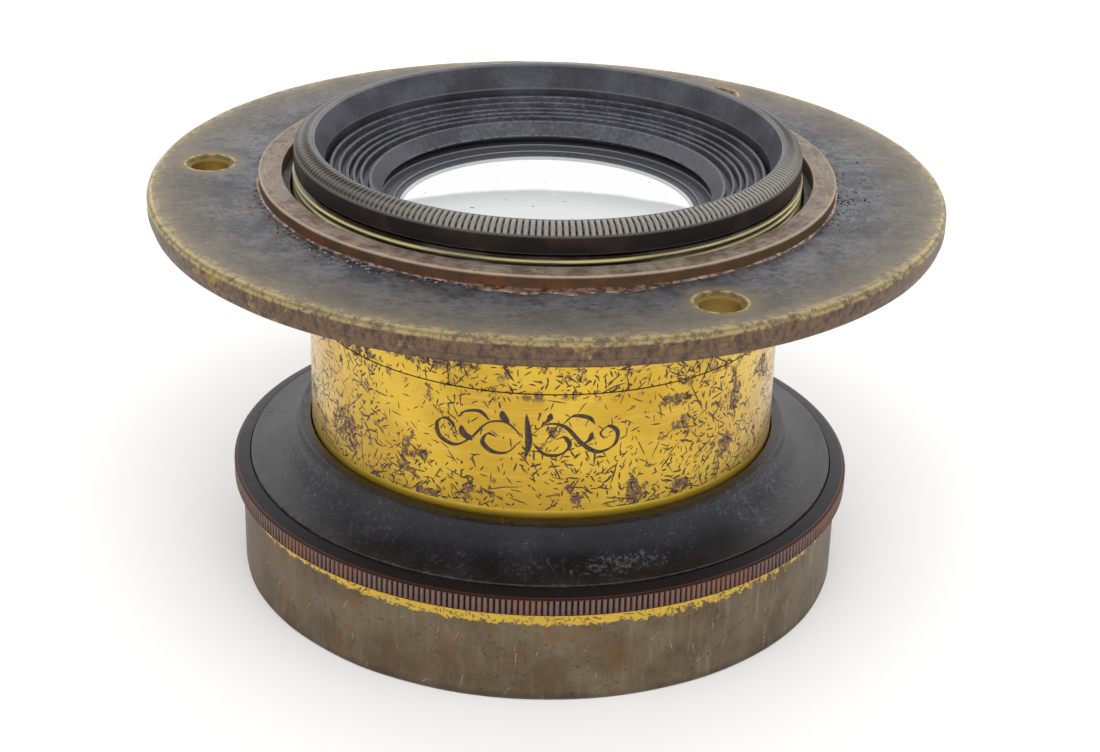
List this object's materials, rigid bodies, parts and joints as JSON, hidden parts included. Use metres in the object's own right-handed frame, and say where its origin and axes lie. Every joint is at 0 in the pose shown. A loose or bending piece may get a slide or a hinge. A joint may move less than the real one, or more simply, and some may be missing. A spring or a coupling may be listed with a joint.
{
  "type": "brass camera lens",
  "caption": "Vintage brass barrel lens with a screw mounting flange, milled rear cell, flared front hood and glass elements, resting on its hood.",
  "frame": {"origin": "centre of the hood's foot, on the optical axis", "axes": "+Z along the optical axis from the hood up to the rear cell, +X to the right of the engraved side, which faces -Y"},
  "size_m": [0.1, 0.1, 0.0581],
  "materials": {
    "lacquered_brass": "golden lacquer, crazed and scratched",
    "patinated_brass": "olive brown patina with a worn lacquer strip",
    "milled_rim": "purple brown milling with coppery edges",
    "collar_brass": "pinkish tan worn brass",
    "flange_brass": "slate grey patina with worn khaki edges",
    "black_lacquer": "satin black with worn edges",
    "matt_black": "matt black",
    "optical_glass": "polished"
  },
  "bodies": {
    "front_cell": {"hood_drum": "patinated_brass", "milled_rim_ring": "milled_rim", "flare_cone": "black_lacquer", "front_cell_mount": "black_lacquer", "front_baffle_cone": "matt_black", "front_retaining_ring": "matt_black", "front_crown_glass": "optical_glass", "front_flint_glass": "optical_glass"},
    "stop": {"aperture_stop": "matt_black", "stop_retaining_ring": "matt_black"},
    "barrel": {"front_barrel": "lacquered_brass", "rear_barrel": "lacquered_brass", "flange_seat_ring": "lacquered_brass"},
    "collar": {"flange_collar": "collar_brass"},
    "flange": {"flange_plate": "flange_brass"},
    "rear_glass": {"rear_crown_glass": "optical_glass", "rear_flint_glass": "optical_glass"},
    "rear_cell": {"rear_cell_mount": "black_lacquer", "rear_baffle_ring": "matt_black", "rear_retaining_ring": "matt_black"}
  },
  "joints": [
    {"name": "barrel_rise", "type": "slide", "parent": "front_cell", "child": "stop", "axis": [0, 0, 1], "range_m": [0, 0.00362]},
    {"name": "barrel_unscrew", "type": "hinge", "parent": "stop", "child": "barrel", "pos_m": [0, 0, 0.0152], "axis": [0, 0, 1], "range_deg": [0, 1530]},
    {"name": "flange_rise", "type": "slide", "parent": "barrel", "child": "collar", "axis": [0, 0, 1], "range_m": [0, 0.00362]},
    {"name": "flange_unscrew", "type": "hinge", "parent": "collar", "child": "flange", "pos_m": [0, 0, 0.0523], "axis": [0, 0, 1], "range_deg": [0, 1530]},
    {"name": "rear_cell_rise", "type": "slide", "parent": "barrel", "child": "rear_glass", "axis": [0, 0, 1], "range_m": [0, 0.0032]},
    {"name": "rear_cell_unscrew", "type": "hinge", "parent": "rear_glass", "child": "rear_cell", "pos_m": [0, 0, 0.0543], "axis": [0, 0, 1], "range_deg": [0, 1530]}
  ],
  "couplings": [
    {"joint": "barrel_rise", "follows": "barrel_unscrew", "m_per_rad": 0.00013528},
    {"joint": "flange_rise", "follows": "flange_unscrew", "m_per_rad": 0.00013528},
    {"joint": "rear_cell_rise", "follows": "rear_cell_unscrew", "m_per_rad": 0.00011937}
  ]
}
